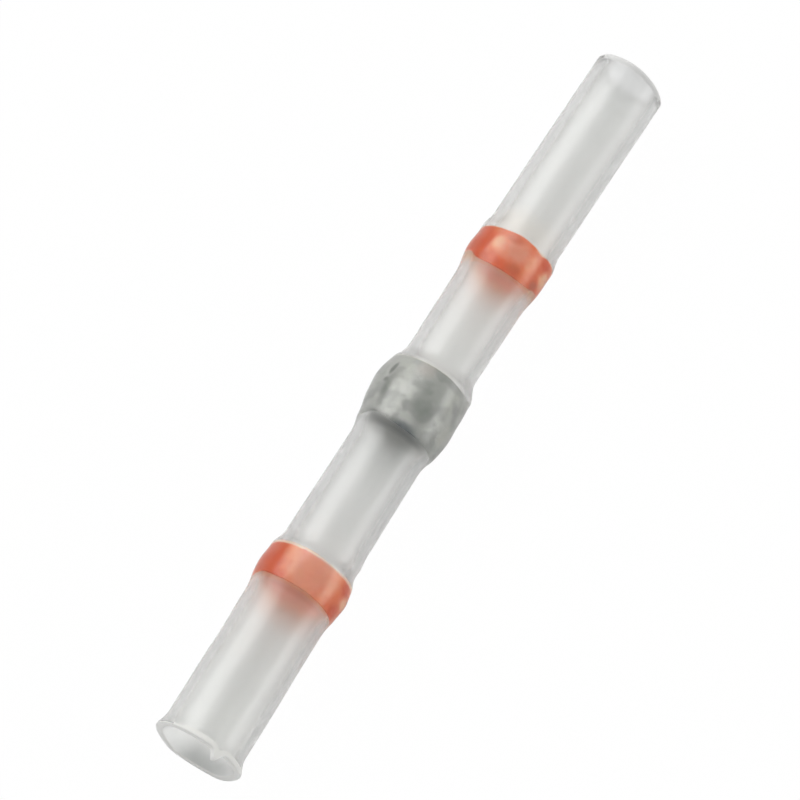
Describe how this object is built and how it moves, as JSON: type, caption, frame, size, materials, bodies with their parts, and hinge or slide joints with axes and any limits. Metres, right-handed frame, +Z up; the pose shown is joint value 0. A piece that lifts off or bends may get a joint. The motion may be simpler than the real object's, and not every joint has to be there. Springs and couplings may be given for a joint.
{
  "type": "heat shrink wire connector",
  "caption": "Clear heat-shrink tube gripping a solder band in its middle and a hot-melt sealing ring towards each end, for joining two wires end to end.",
  "frame": {"origin": "on the tube's axis, half way between its two mouths", "axes": "+X along the tube towards the narrower right end, +Z up with the connector lying on its side, +Y across it"},
  "size_m": [0.04, 0.0046, 0.0046],
  "materials": {
    "clear_tube": "translucent, slightly milky polyolefin with a satin skin",
    "solder": "dull grey low-melting solder, mottled by flux and handling",
    "hot_melt": "translucent orange-red hot-melt adhesive, soft gloss"
  },
  "bodies": {
    "root": {"sleeve": "clear_tube", "solder_ring": "solder", "left_sealing_ring": "hot_melt", "right_sealing_ring": "hot_melt"}
  },
  "joints": []
}
